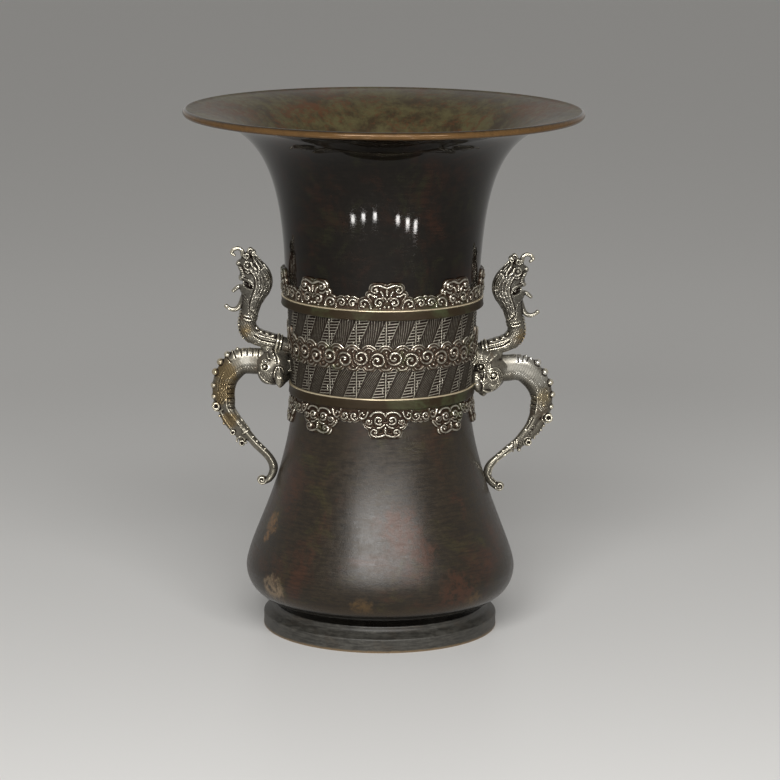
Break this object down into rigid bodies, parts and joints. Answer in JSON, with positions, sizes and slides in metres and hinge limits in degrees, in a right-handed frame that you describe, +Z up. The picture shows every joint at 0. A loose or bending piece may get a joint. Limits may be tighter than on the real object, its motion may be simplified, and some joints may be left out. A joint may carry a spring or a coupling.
{
  "type": "bronze hu vase",
  "caption": "Tall bronze hu vase with a wide trumpet mouth, fret collar, cloud-scroll borders, a pear belly on a low foot and beast handles topped by dragon heads.",
  "frame": {"origin": "centre of the foot ring's underside, on the vase's axis", "axes": "+Z up the axis of the vase; the handles stand out along +X (right) and -X (left); -Y is the front"},
  "size_m": [0.2728, 0.2728, 0.36],
  "materials": {
    "dark_patina": "waxed brown-black bronze patina, glossy",
    "fret_patina": "dark bronze patina in a fine fret ground",
    "cloud_patina": "reddish brown bronze, worn on the relief",
    "fillet_bronze": "worn golden brown bronze with green traces",
    "handle_bronze": "grey brown bronze, satin",
    "pin_bronze": "bare bronze"
  },
  "bodies": {
    "root": {"foot_ring": "dark_patina", "base_plate": "dark_patina", "belly": "dark_patina", "waist_collar": "fret_patina", "trumpet_neck": "dark_patina", "upper_fillet": "fillet_bronze", "lower_fillet": "fillet_bronze", "upper_cloud_border": "cloud_patina", "lower_cloud_border": "cloud_patina", "front_cloud_girdle": "cloud_patina", "rear_cloud_girdle": "cloud_patina", "right_beast_head": "handle_bronze", "left_beast_head": "handle_bronze", "right_beast_body": "handle_bronze", "left_beast_body": "handle_bronze", "right_dragon_neck": "handle_bronze", "left_dragon_neck": "handle_bronze", "right_dragon_head": "handle_bronze", "left_dragon_head": "handle_bronze", "right_tenon_pin": "pin_bronze", "left_tenon_pin": "pin_bronze"}
  },
  "joints": []
}
